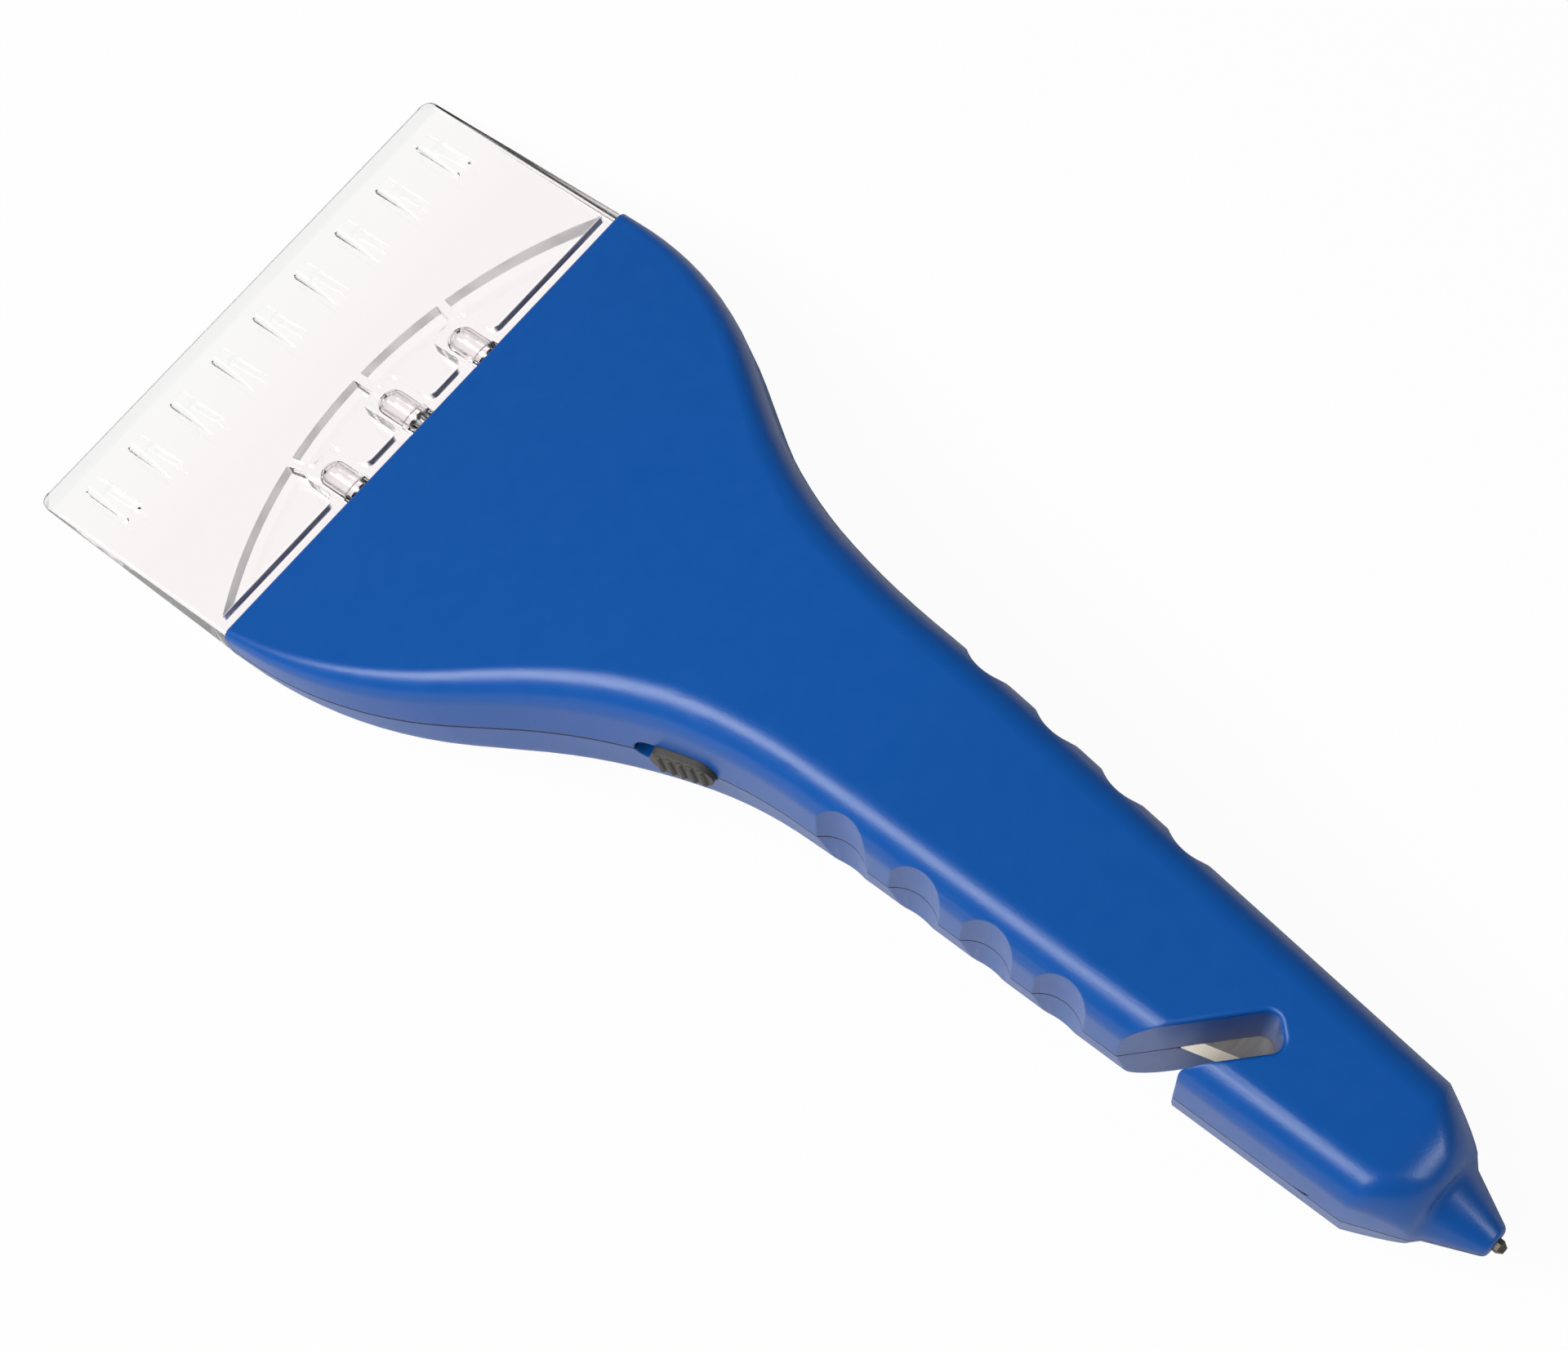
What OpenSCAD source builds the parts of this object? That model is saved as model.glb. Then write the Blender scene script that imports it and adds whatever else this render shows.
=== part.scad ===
// Windshield ice scraper: clear head with lamps, bent two-part housing, belt cutter and glass breaker.
// A station is a distance along the parting surface from the scraping edge, and a height is square to it.
// Near is the side of the switch and the belt cutter (negative y), far is the other side.

/* [Scraping head] */
// Width of the scraping edge
edge_width = 95; // [86:0.5:106]
// How much each side of the head spreads from the edge to the seam
head_spread = 0.4; // [0:0.05:1]
// Clear length from the scraping edge to the seam
head_length = 47.4; // [44:0.2:56]
// Thickness of the scraping edge
edge_thickness = 0.9; // [0.6:0.1:1.4]
// Length of the ground bevel behind the edge
bevel_length = 3.2; // [2:0.1:5]
// Height of the top face at the back of the bevel
bevel_height = 1.3; // [1:0.1:1.8]
// Radius of the two front corners
edge_corner = 2; // [1:0.1:4]
// How far the straight edge stops short of the rounded corners, which are eased below
corner_ease = 0.4; // [0.2:0.1:0.8]
// How far the head sits below the housing at the seam
head_step = 0.4; // [0.2:0.05:0.6]

/* [Ice-breaker ribs] */
// Number of ribs
rib_count = 9; // [5:1:9]
// Spacing of the ribs
rib_pitch = 10.05; // [7:0.05:10.2]
// Distance of the ribs from the scraping edge
rib_setback = 6.8; // [5:0.1:9]
// Length of a rib
rib_length = 11.2; // [8:0.1:12.5]
// Width of a rib
rib_width = 3.5; // [2.4:0.1:4.5]
// Height of a rib at its blunt front
rib_height = 2; // [1:0.1:2.4]

/* [Lamps] */
// Diameter of a lamp
lamp_diameter = 5; // [4.5:0.1:5.2]
// Length of a lamp with its flange
lamp_length = 8.6; // [7.6:0.1:9]
// Spacing of the lamps
lamp_pitch = 15.4; // [13:0.1:17]
// Height of the lamps above the parting surface
lamp_height = 0.3; // [0.2:0.05:0.4]
// Clearance round a lamp
lamp_clearance = 0.1; // [0.05:0.01:0.2]
// Wall of the clear lamp housings
lamp_wall = 1; // [0.8:0.05:1.3]
// Thickness of the lamp board
board_thickness = 1.6; // [1:0.1:2]
// Radius of the arc pocket in front of the lamps
pocket_radius = 82; // [76:0.5:90]
// Distance of the arc's crown from the seam
pocket_reach = 16.7; // [15.5:0.1:17.5]
// Clear strip left between the pocket and the seam
pocket_strip = 2.8; // [2:0.1:3.2]
// Height of the pocket floor above the parting surface
pocket_floor = 0.6; // [0.2:0.1:1.2]

/* [Housing outline] */
// Slope of the sides behind the seam
side_angle = 1.7; // [0.5:0.1:3]
// Straight run of the sides behind the seam
side_run = 4.6; // [2:0.1:8]
// Radius of the outward curve of the flare
outer_radius = 75; // [66:0.5:82]
// Steepest slope of the flare
flare_angle = 31; // [28:0.5:34]
// Radius of the inward curve of the flare
inner_radius = 103; // [92:0.5:112]
// Width of the neck
neck_width = 36.2; // [36:0.2:42]
// Taper of the grip on each side
grip_taper = 3.1; // [1.5:0.1:3.2]
// Length of the grip from the neck to the tail shoulder
grip_length = 103; // [102:0.2:120]

/* [Side view] */
// Angle between the head and the grip
bend_angle = 18.5; // [12:0.1:22]
// Radius of the bend along the parting surface
bend_radius = 129; // [110:1:140]
// How far before the neck the bend starts
bend_lead = 22.5; // [20:0.1:26]
// Height of the upper half at the seam
seam_top = 4.2; // [4.1:0.05:5]
// Depth of the lower half at the seam
seam_bottom = 3.6; // [3.5:0.05:4.4]
// Height of the upper half along the grip
grip_top = 14.5; // [13:0.1:16]
// Depth of the lower half along the grip
grip_bottom = 14; // [13:0.1:15]
// Length over which the halves reach their full height
rise_length = 82; // [70:0.5:90]
// Rounding of the upper edges at the seam
seam_top_round = 1.6; // [1:0.1:2]
// Rounding of the upper edges along the grip
grip_top_round = 6.5; // [5:0.1:7.5]
// Rounding of the lower edges at the seam
seam_bottom_round = 2.2; // [1.5:0.1:2.6]
// Rounding of the lower edges along the grip
grip_bottom_round = 6; // [5:0.1:7]
// Lean of the upper half's side walls
upper_lean = 1; // [0.5:0.1:3]
// Lean of the lower half's side walls
lower_lean = 8; // [4:0.5:9]
// Wall of the housing at the seam
seam_wall = 1.5; // [1.3:0.05:1.6]
// Wall of the housing along the grip
grip_wall = 3; // [2.7:0.05:3.2]
// Gap left open along the parting line
parting_gap = 0.2; // [0.1:0.02:0.3]
// Gap between the clear head and the housing
seam_gap = 0.1; // [0.05:0.01:0.2]

/* [Finger scoops] */
// Distance from the neck to the first scoop
scoop_start = 9.9; // [8:0.1:12]
// Spacing of the scoops
scoop_pitch = 13.6; // [12:0.1:14.4]
// Length of a scoop along the parting line
scoop_chord = 9.6; // [8:0.1:11]
// Depth of a scoop
scoop_depth = 2; // [1:0.1:2.2]

/* [Belt cutter and tail] */
// Width of the belt notch
notch_width = 6.4; // [5.5:0.1:7]
// Angle of the notch to the grip
notch_angle = 49; // [45:0.5:52]
// Length of the notch from the middle of its mouth
notch_length = 20.6; // [19:0.1:21]
// Distance from the notch mouth to the tail shoulder
notch_setback = 37; // [36:0.1:40]
// Rounding of the notch's inner corners
notch_corner = 2.2; // [1.5:0.1:2.7]
// Rounding of the notch's acute lip
notch_lip = 0.9; // [0.5:0.1:1.4]
// Rounding of the notch's upper rim
notch_rim = 1; // [0.5:0.1:1.5]
// Length of the cutter blade
blade_length = 20; // [18:0.1:21]
// Depth of the blade from its cutting edge to its back
blade_depth = 9.5; // [9.2:0.1:10]
// Thickness of the blade
blade_thickness = 0.6; // [0.4:0.05:1]
// Angle of the cutting edge to the grip
blade_angle = 18; // [14:0.5:22]
// Length of the slope from the tail shoulder to the collar of the nose cone
slope_length = 9.6; // [8:0.1:12]
// Radius of the collar
collar_radius = 8.2; // [7.8:0.1:8.6]
// Length of the step from the collar down to the nose cone
collar_step = 1.3; // [0.8:0.1:2]
// Length of the nose cone
cone_length = 8.9; // [8:0.1:11]
// Radius of the nose cone at its base
cone_radius = 6.8; // [6.2:0.1:7.4]
// Radius of the nose cone at its tip
nose_radius = 2.6; // [2.5:0.05:3.2]
// Rounding of the tip's rim
nose_round = 0.7; // [0.3:0.1:0.8]
// Width across the corners of the hexagonal breaker pin
pin_width = 2.4; // [2:0.1:2.6]
// How far the breaker pin stands out of the nose
pin_reach = 1.7; // [1:0.1:3]

/* [Light switch] */
// Distance of the switch slot's middle from the neck
switch_lead = 21.2; // [19:0.1:23]
// Length of the slot in the side wall
slot_length = 14.8; // [14:0.1:16]
// Height of the slot
slot_height = 6; // [5.4:0.1:6.6]
// Travel of the slider
slider_travel = 3; // [2:0.1:3.2]
// Clearance of the slider in its slot
slider_clearance = 0.25; // [0.15:0.05:0.4]
// How far the slider stands out of the wall
slider_reach = 1.2; // [0.8:0.1:1.8]

/* [Batteries] */
// Diameter of a cell
cell_diameter = 10.5; // [10:0.1:10.6]
// Length of a cell with its button
cell_length = 44.5; // [43.5:0.1:45]
// Room for a flat contact at the end of a cell
contact_room = 2.5; // [2:0.1:3]
// Room for a spring contact at the end of a cell
spring_room = 5; // [4.6:0.1:5.4]
// Thickness of the contact strip
strip_thickness = 0.4; // [0.3:0.05:0.5]
// Half width of the door opening
door_half_width = 11.2; // [11:0.1:11.5]
// Gap all round the door
door_gap = 0.3; // [0.2:0.02:0.4]

/* [Fasteners and wires] */
// Diameter of a screw's shank
screw_diameter = 2.5; // [2.2:0.1:2.8]
// Diameter of a screw's head
screw_head_diameter = 5; // [4.6:0.1:5.4]
// Height of a screw's head
screw_head_height = 1.6; // [1.2:0.1:1.8]
// Length of each slot of the cross drive
drive_length = 2.8; // [2.2:0.1:3.4]
// Width of each slot of the cross drive
drive_width = 0.8; // [0.6:0.1:1]
// Depth of the cross drive
drive_depth = 0.8; // [0.5:0.1:1]
// Radial clearance of pins and screws in their holes
pin_clearance = 0.05; // [0.03:0.01:0.08]
// Diameter of a wire
wire_diameter = 1.4; // [1.2:0.1:1.6]

/* [Hidden] */
$fn = 48;

// The housing stands proud of the head all round the seam
head_half = edge_width / 2 + head_spread;
seam_width = 2 * (head_half + head_step + seam_gap);

// Stations along the outline of the housing
seam = head_length + seam_gap;
curve_start = seam + side_run;
curve_start_half = seam_width / 2 - side_run * tan(side_angle);
curve_end = curve_start + outer_radius * (sin(flare_angle) - sin(side_angle));
curve_end_half = curve_start_half - outer_radius * (cos(side_angle) - cos(flare_angle));
hollow_start_half = neck_width / 2 + inner_radius * (cos(grip_taper) - cos(flare_angle));
hollow_start = curve_end + (curve_end_half - hollow_start_half) / tan(flare_angle);
neck = hollow_start + inner_radius * (sin(flare_angle) - sin(grip_taper));
shoulder = neck + grip_length;
collar = shoulder + slope_length;
cone_start = collar + collar_step;
nose = cone_start + cone_length;
bend_start = neck - bend_lead;
bend_end = bend_start + bend_radius * bend_angle * PI / 180;

// The rounded corners of a ring leave a narrow flat at the crown of the cone
crown_flat = 0.3;
arc_steps = 8;
flare_steps = 34;
tail_steps = 6;
past = 1;
flare_stations = [for (i = [0:flare_steps]) mix(seam, bend_end, i / flare_steps)];
slope_stations = [for (i = [0:tail_steps]) shoulder + slope_length * sin(90 * i / tail_steps)];
rim_stations = [for (a = [0, 35, 65, 90]) nose - nose_round + nose_round * sin(a)];

function mix(a, b, t) = a + (b - a) * t;
function rise(s) = sin(90 * min(1, max(0, (s - seam) / rise_length)));

// Round tail behind the collar: a step, a cone and a rounded rim
function rim(s) = min(1, max(0, (s - nose + nose_round) / nose_round));
function tail_radius(s) =
    s <= cone_start ? mix(collar_radius, cone_radius, (s - collar) / collar_step) :
    mix(cone_radius, nose_radius, (s - cone_start) / cone_length)
        - nose_round * (1 - sqrt(1 - rim(s) * rim(s)));

// Heights grow from the seam to the grip and curve down from the tail shoulder to the collar
function slope(s) = min(1, max(0, (s - shoulder) / slope_length));
function height(s, at_seam, at_grip) =
    s <= shoulder ? mix(at_seam, at_grip, rise(s)) :
    s <= collar ? mix(collar_radius, at_grip, sqrt(1 - slope(s) * slope(s))) :
    tail_radius(s);
function rounding(s, at_seam, at_grip) =
    s <= shoulder ? mix(at_seam, at_grip, rise(s)) :
    s <= collar ? mix(at_grip, collar_radius - crown_flat, slope(s)) :
    tail_radius(s) - crown_flat;

function half_width(s) =
    s <= curve_start ? seam_width / 2 - (s - seam) * tan(side_angle) :
    s <= curve_end ? curve_start_half - outer_radius
        * (cos(side_angle) - cos(asin(sin(side_angle) + (s - curve_start) / outer_radius))) :
    s <= hollow_start ? curve_end_half - (s - curve_end) * tan(flare_angle) :
    s <= neck ? hollow_start_half - inner_radius
        * (cos(asin(sin(flare_angle) - (s - hollow_start) / inner_radius)) - cos(flare_angle)) :
    s <= shoulder ? neck_width / 2 - (s - neck) * tan(grip_taper) :
    s <= collar ? mix(shoulder_half, collar_radius, slope(s)) :
    tail_radius(s);
shoulder_half = neck_width / 2 - grip_length * tan(grip_taper);
function side_slope(s) = atan((half_width(s - 1) - half_width(s + 1)) / 2);

function top(s) = height(s, seam_top, grip_top);
function bottom(s) = height(s, seam_bottom, grip_bottom);
function top_round(s) = rounding(s, seam_top_round, grip_top_round);
function bottom_round(s) = rounding(s, seam_bottom_round, grip_bottom_round);
function wall(s) = mix(seam_wall, grip_wall, rise(s));

// The parting surface: a straight head, an arc at the neck and a straight grip that runs along x
function turn(s) = bend_angle * min(1, max(0, (bend_end - s) / (bend_end - bend_start)));
function arc_point(a) = [bend_end - bend_radius * sin(a), -bend_radius * (1 - cos(a))];
function bend_base(s) =
    s <= bend_start ? arc_point(bend_angle) + (s - bend_start) * [cos(bend_angle), sin(bend_angle)] :
    s <= bend_end ? arc_point(turn(s)) : [s, 0];
function bend(p) =
    let (base = bend_base(p.x), a = turn(p.x))
    [base.x - p.z * sin(a), p.y, base.y + p.z * cos(a)];

module at_station(s) {
    translate(bend([s, 0, 0]))
        rotate([0, -turn(s), 0])
            children();
}

module on_head() {
    at_station(0)
        children();
}

// Rest pose: the scraping edge and the back of the tail lie on the table
edge_low = bend([0, 0, -edge_thickness / 2]);
edge_high = bend([0, 0, edge_thickness / 2]);
rest_angle = atan(min([for (s = slope_stations) (-bottom(s) - edge_low.z) / (s - edge_low.x)]));
function rest_x(p) = p.x * cos(rest_angle) + p.z * sin(rest_angle);
function rest_z(p) = p.z * cos(rest_angle) - p.x * sin(rest_angle);
pin_end_radius = pin_width / 4;
tip = [nose + pin_reach, 0, pin_end_radius];
rest_middle = (rest_x(edge_high) + rest_x(tip)) / 2;

module at_rest() {
    translate([-rest_middle, 0, -rest_z(edge_low)])
        rotate([0, rest_angle, 0])
            children();
}

// Rings of the lofted halves: side, rounded corner, crown, rounded corner, side
function corner(w, h, r, lean) =
    [for (i = [0:arc_steps])
        let (a = 180 - 90 * i / arc_steps)
        [-(w - (h - r) * tan(lean) - r) + r * cos(a), h - r + r * sin(a)]];
function mirrored(points) = [for (i = [len(points) - 1:-1:0]) [-points[i].x, points[i].y]];
function ring(w, h, r, lean, base) =
    let (side = corner(w, h, r, lean))
    concat([[-w, base]], side, mirrored(side), [[w, base]]);
function ring_at(s, up, inset, base) =
    let (w = half_width(s) - inset)
    let (h = (up ? top(s) : bottom(s)) - inset)
    let (r = max((up ? top_round(s) : bottom_round(s)) - inset, 0.6))
    [for (p = ring(w, h, r, up ? upper_lean : lower_lean, base)) up ? p : [-p.x, -p.y]];

// Closed surface through rings of n points each
module skin(points, n) {
    last = len(points) / n - 1;
    sides = [for (i = [0:last - 1]) for (j = [0:n - 1])
        let (a = i * n + j, b = i * n + (j + 1) % n)
        each [[a, b, a + n], [b, b + n, a + n]]];
    near_end = [for (j = [n - 1:-1:0]) j];
    far_end = [for (j = [0:n - 1]) last * n + j];
    polyhedron(points, concat(sides, [near_end, far_end]), convexity = 10);
}

module loft(stations, rings) {
    skin([for (i = [0:len(stations) - 1]) for (p = rings[i]) bend([stations[i], p.x, p.y])], len(rings[0]));
}

module outer_half(up) {
    stations = concat(flare_stations, slope_stations, [cone_start], rim_stations);
    loft(stations, [for (s = stations) ring_at(s, up, 0, parting_gap / 2)]);
}

// Hollow inside a half, from the open seam to the solid tail that holds the belt cutter
module cavity(up) {
    stations = concat([seam - past], [for (s = flare_stations) if (s > seam + past) s], [bay_end]);
    loft(stations, [for (s = stations) ring_at(s, up, wall(s), -past)]);
}

// Finger scoops: upright cylinders that bite the rounded sides
scoop_radius = (pow(scoop_chord / 2, 2) + pow(scoop_depth, 2)) / (2 * scoop_depth);
scoop_stations = [for (i = [0:3]) neck + scoop_start + i * scoop_pitch];
scoop_tall = 2 * (grip_top + grip_bottom);

module scoops() {
    for (s = scoop_stations)
        for (side = [-1, 1])
            at_station(s)
                translate([0, side * (half_width(s) - scoop_depth + scoop_radius), -scoop_tall / 2])
                    cylinder(r = scoop_radius, h = scoop_tall);
}

// Belt-cutter notch, measured from the middle of its mouth on the near side
notch_station = shoulder - notch_setback;
notch_mouth = [notch_station, -half_width(notch_station), 0];
notch_out = 14;

// The acute lip at the mouth is rounded, between the notch and the side of the grip
lip_angle = notch_angle - grip_taper;
lip_run = notch_lip / tan(lip_angle / 2);

module lip_corner() {
    translate([notch_width / 2 / tan(lip_angle), -notch_width / 2])
        difference() {
            polygon([[-past, past], [lip_run, past], [lip_run, -notch_lip],
                [lip_run * cos(lip_angle), -lip_run * sin(lip_angle)],
                [lip_run * cos(lip_angle) - 2 * past, -lip_run * sin(lip_angle) - 2 * past]]);
            translate([lip_run, -notch_lip])
                circle(r = notch_lip);
        }
}

module on_notch() {
    translate(notch_mouth)
        rotate([0, 0, notch_angle])
            children();
}

module notch() {
    on_notch()
        translate([0, 0, -scoop_tall / 2])
            linear_extrude(scoop_tall) {
                translate([-notch_out, -notch_width / 2])
                    square([notch_out + notch_length - notch_corner, notch_width]);
                translate([0, notch_corner - notch_width / 2])
                    square([notch_length, notch_width - 2 * notch_corner]);
                for (side = [-1, 1])
                    translate([notch_length - notch_corner, side * (notch_width / 2 - notch_corner)])
                        circle(r = notch_corner);
                lip_corner();
            }
}

// Rounding of the notch's upper rim: a profile carried along one side, round the inner corners and back
rim_steps = 8;
rim_crease = 0.02;
rim_profile = concat([[notch_rim, past]],
    [for (i = [0:rim_steps])
        let (a = 90 + 90 * i / rim_steps, r = notch_rim + rim_crease)
        [notch_rim + r * cos(a), r * sin(a) - notch_rim]],
    [[-past, -notch_rim], [-past, past]]);
rim_path = concat([[-notch_out, notch_width / 2, 90]],
    [for (side = [1, -1]) for (i = [0:rim_steps])
        let (a = 45 * (1 + side) - 90 * i / rim_steps)
        [notch_length - notch_corner + notch_corner * cos(a),
            side * (notch_width / 2 - notch_corner) + notch_corner * sin(a), a]],
    [[-notch_out, -notch_width / 2, -90]]);

module notch_rounding() {
    on_notch()
        translate([0, 0, grip_top])
            skin([for (p = rim_path) for (q = rim_profile)
                [p.x + q.x * cos(p.z), p.y + q.x * sin(p.z), q.y]], len(rim_profile));
}

// Cutter blade: lies in a recess of the lower half, ground along the edge that faces the mouth
blade_middle = [notch_station + 9.2, -half_width(notch_station) + 9.6, -parting_gap / 2];
blade_grind = 1.8;
blade_posts = [[-6, blade_depth - 3], [blade_length / 2 - 1.6, blade_depth - 2]];
blade_post_radius = 1;
blade_clearance = 0.1;

module on_blade() {
    translate(blade_middle)
        rotate([0, 0, blade_angle])
            children();
}

module blade_recess() {
    on_blade()
        translate([-blade_length / 2 - blade_clearance, -blade_clearance, -blade_thickness])
            cube([blade_length + 2 * blade_clearance, blade_depth + 2 * blade_clearance,
                blade_thickness + past]);
}

module blade_pegs(clearance, tall) {
    on_blade()
        for (p = blade_posts)
            translate([p.x, p.y, -blade_thickness - past / 2])
                cylinder(r = blade_post_radius + clearance, h = tall);
}

module cutter_blade() {
    color("silver")
        at_rest()
            difference() {
                on_blade()
                    rotate([90, 0, 90])
                        linear_extrude(blade_length, center = true)
                            polygon([[0, -blade_thickness], [blade_grind, 0], [blade_depth, 0],
                                [blade_depth, -blade_thickness]]);
                blade_pegs(blade_clearance, blade_thickness + past);
            }
}

// Glass-breaker pin: hexagonal, with a round flange locked between the halves
flange_radius = cone_radius - 3.4;
flange_length = 2;
flange_station = cone_start + 0.4;
pin_root = 5;
pin_start = flange_station - pin_root + pin_clearance;
pin_end = nose + pin_reach;
pin_taper = nose + 0.45 * pin_reach;

module pin_seat() {
    translate([flange_station - pin_root, 0, 0])
        rotate([0, 90, 0])
            cylinder(d = pin_width + 2 * pin_clearance, h = pin_root + cone_length + past);
    translate([flange_station - pin_clearance, 0, 0])
        rotate([0, 90, 0])
            cylinder(r = flange_radius + pin_clearance, h = flange_length + 2 * pin_clearance);
}

module breaker_pin() {
    color("dimgray")
        at_rest() {
            translate([flange_station, 0, 0])
                rotate([0, 90, 0])
                    cylinder(r = flange_radius, h = flange_length);
            translate([pin_start, 0, 0])
                rotate([0, 90, 0])
                    cylinder(d = pin_width, h = pin_taper - pin_start, $fn = 6);
            translate([pin_taper, 0, 0])
                rotate([0, 90, 0])
                    cylinder(d1 = pin_width, r2 = pin_end_radius, h = pin_end - pin_taper, $fn = 6);
        }
}

// Screws: two through the ears of the head, two in the flare and one in the tail
ear_station = seam + 6.5;
ear_side = 33;
flare_screw = hollow_start + 3;
flare_screw_side = half_width(flare_screw) - 11;
tail_screw = shoulder - 9.5;
screw_places = [[ear_station, -ear_side], [ear_station, ear_side], [flare_screw, -flare_screw_side],
    [flare_screw, flare_screw_side], [tail_screw, 0]];
tower_radius = 4.2;
tower_gap = 0.02;
ear_thickness = 3;
ear_play = 0.05;
ear_hole_play = 0.2;
screw_play = 0.3;
screw_head_play = 0.3;
spigot_radius = screw_diameter / 2 + 0.9;
function seat_depth(s) = min(bottom(s) - 2, 4);
function screw_end(s) = min(top(s) - wall(s) - 0.4, 6);

module at_screw(p) {
    at_station(p.x)
        translate([0, p.y, 0])
            children();
}

module towers(up) {
    for (p = screw_places) {
        reach = up ? top(p.x) - wall(p.x) / 2 : bottom(p.x) - wall(p.x) / 2;
        start = p.x == ear_station ? ear_thickness / 2 + ear_play : tower_gap;
        at_screw(p)
            mirror([0, 0, up ? 0 : 1]) {
                translate([0, 0, start])
                    cylinder(r = tower_radius, h = reach - start);
                translate([0, 0, tower_gap])
                    cylinder(r = spigot_radius, h = reach - tower_gap);
            }
    }
}

module screw_holes() {
    for (p = screw_places)
        at_screw(p) {
            translate([0, 0, -seat_depth(p.x) - past])
                cylinder(d = screw_diameter + 2 * pin_clearance,
                    h = seat_depth(p.x) + past + screw_end(p.x));
            translate([0, 0, -bottom(p.x) - past])
                cylinder(d = screw_head_diameter + 2 * screw_head_play,
                    h = bottom(p.x) + past - seat_depth(p.x));
        }
}

module shell_screws() {
    color("lightgray")
        at_rest()
            for (p = screw_places)
                at_screw(p)
                    translate([0, 0, -seat_depth(p.x)]) {
                        cylinder(d = screw_diameter, h = seat_depth(p.x) + screw_end(p.x) - screw_play);
                        translate([0, 0, -screw_head_height])
                            difference() {
                                cylinder(d = screw_head_diameter, h = screw_head_height);
                                for (turn = [0, 90])
                                    rotate(turn)
                                        translate([-drive_length / 2, -drive_width / 2, -past])
                                            cube([drive_length, drive_width, drive_depth + past]);
                            }
                    }
}

// Light switch: a frame on the near wall, x along the wall towards the tail, y inwards
switch_station = neck - switch_lead;
switch_wall = wall(switch_station);
slider_length = slot_length - slider_travel - 2 * slider_clearance;
slider_height = slot_height - 2 * slider_clearance;
slider_home = slider_travel / 2;
flange_gap = 0.5;
slider_back = switch_wall + flange_gap;
slider_flange = 1.2;
fork_depth = 2.4;
fork_gap = 1.9;
lever_width = 1.5;
lever_play = 0.3;
lever_depth = 0.6;
lever_front = slider_back + slider_flange + lever_play;
switch_front = slider_back + slider_flange + fork_depth + 0.4;
switch_size = [8.6, 4.4, 3.6];
switch_pin_length = 3;
switch_pin_pitch = 2.5;

module on_switch() {
    at_station(switch_station)
        translate([0, -half_width(switch_station), 0])
            rotate([0, 0, side_slope(switch_station)])
                children();
}

// Point of the switch frame in stations and sides
function switch_point(x, y) =
    let (a = side_slope(switch_station))
    [switch_station + x * cos(a) - y * sin(a), x * sin(a) + y * cos(a) - half_width(switch_station)];

module stadium(long, tall) {
    square([long - tall, tall], center = true);
    for (side = [-1, 1])
        translate([side * (long - tall) / 2, 0])
            circle(d = tall);
}

module switch_slot() {
    on_switch()
        translate([0, slider_back, 0])
            rotate([90, 0, 0])
                linear_extrude(slider_back + 6)
                    stadium(slot_length, slot_height);
}

module switch_slider() {
    ridge_pitch = 1.9;
    ridge_radius = 0.55;
    color("dimgray")
        at_rest()
            on_switch()
                translate([slider_home, 0, 0]) {
                    translate([0, slider_back, 0])
                        rotate([90, 0, 0])
                            linear_extrude(slider_back + slider_reach)
                                stadium(slider_length, slider_height);
                    for (i = [-2:2])
                        translate([i * ridge_pitch, -slider_reach, -slider_height * 0.36])
                            cylinder(r = ridge_radius, h = slider_height * 0.72);
                    translate([-slot_length / 2 - 1.2, slider_back, -slot_height / 2 - 0.8])
                        cube([slot_length + 2.4, slider_flange, slot_height + 1.6]);
                    for (side = [0, 1])
                        mirror([side, 0, 0])
                            translate([fork_gap / 2, slider_back + slider_flange - 0.2, -switch_size.z / 2])
                                cube([1.2, fork_depth + 0.2, switch_size.z]);
                }
}

module switch_lever() {
    color("black")
        at_rest()
            on_switch()
                translate([slider_home - lever_width / 2, lever_front, -lever_width / 2])
                    cube([lever_width, switch_front + lever_depth - lever_front, lever_width]);
}

module switch_body() {
    lever_slot = slider_travel + lever_width + 2 * lever_play;
    color("gainsboro")
        at_rest()
            on_switch()
                translate([0, switch_front, 0])
                    difference() {
                        translate([-switch_size.x / 2, 0, -switch_size.z / 2])
                            cube(switch_size);
                        translate([-lever_slot / 2, -past, -lever_width / 2 - lever_play])
                            cube([lever_slot, past + lever_depth + lever_play,
                                lever_width + 2 * lever_play]);
                    }
}

module switch_pins() {
    color("goldenrod")
        at_rest()
            on_switch()
                for (i = [-1:1])
                    translate([i * switch_pin_pitch - 0.4, switch_front + switch_size.y, -0.25])
                        cube([0.8, switch_pin_length, 0.5]);
}

// Blocks that grip the switch body from both halves
module switch_blocks(up) {
    reach = (up ? top(switch_station) : bottom(switch_station)) - switch_wall / 2;
    on_switch()
        mirror([0, 0, up ? 0 : 1])
            translate([-3, switch_front + 0.6, switch_size.z / 2])
                cube([6, switch_size.y - 1.2, reach - switch_size.z / 2]);
}

// Battery bay between the neck and the solid tail
bay_end = notch_station - 6.5;
bay_start = bay_end - cell_length - contact_room - spring_room;
cell_radius = cell_diameter / 2;
cell_side = cell_radius + 0.15;
cell_height = -(grip_bottom - grip_wall) + cell_radius + 0.3;
near_cell_start = bay_start + contact_room;
far_cell_start = bay_start + spring_room;
button_radius = 1.9;
button_length = 1;
bay_rib = 2;
bay_rib_top = 2;
strip_half = 3.6;
strip_low = cell_height - 4;

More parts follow.
